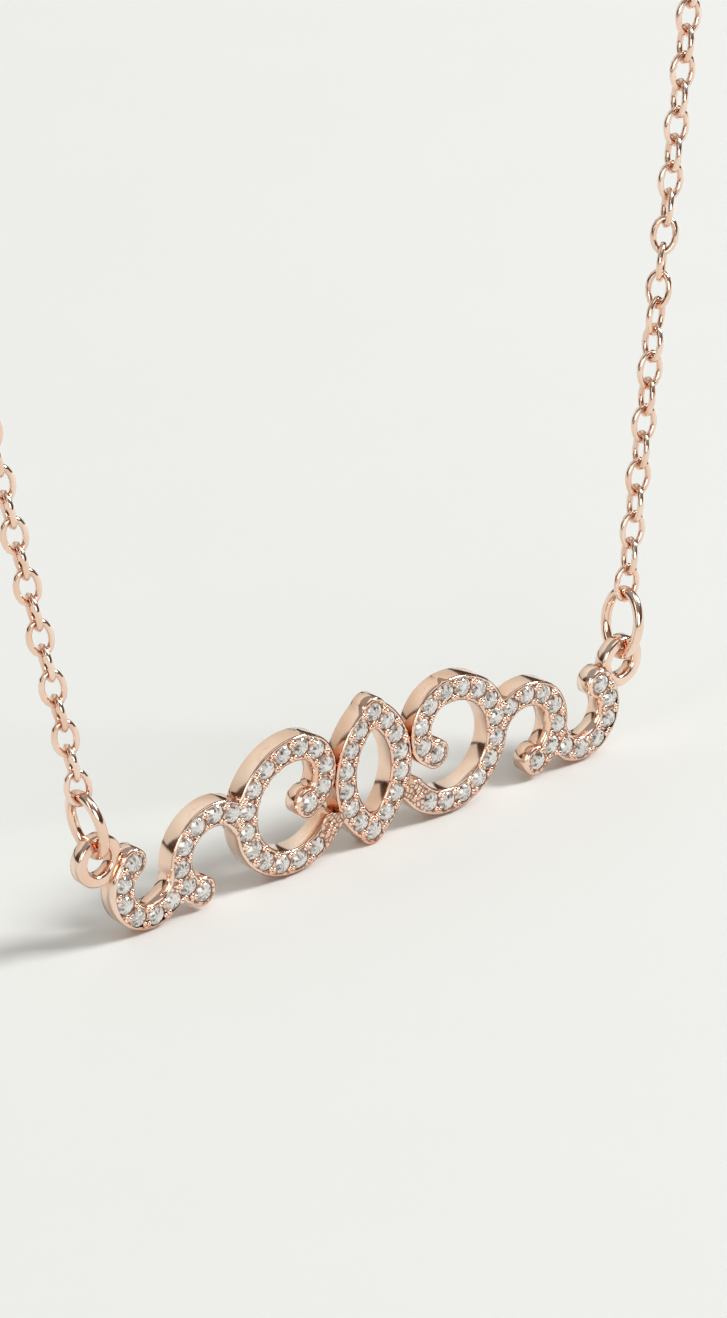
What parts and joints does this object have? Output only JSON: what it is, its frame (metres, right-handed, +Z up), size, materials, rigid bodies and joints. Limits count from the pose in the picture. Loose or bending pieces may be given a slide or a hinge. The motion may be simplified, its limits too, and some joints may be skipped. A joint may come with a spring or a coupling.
{
  "type": "plate necklace",
  "caption": "Rose-gold cable-chain necklace with an openwork scroll plate set with a single row of round white stones, shown hanging as worn.",
  "frame": {"origin": "on the nape, at the middle of the clasp, where the worn necklace rests", "axes": "+Z up; -Y the way the plate faces and the wearer looks; +X to the right of a viewer who faces the plate"},
  "size_m": [0.089, 0.0898, 0.1023],
  "materials": {
    "metal": "polished rose-gold plating",
    "stone": "cut and polished, colourless"
  },
  "bodies": {
    "root": {"nameplate": "metal", "stones": "stone", "left_ring": "metal", "right_ring": "metal", "chain_left": "metal", "chain_right": "metal", "clasp": "metal", "end_ring": "metal"}
  },
  "joints": []
}
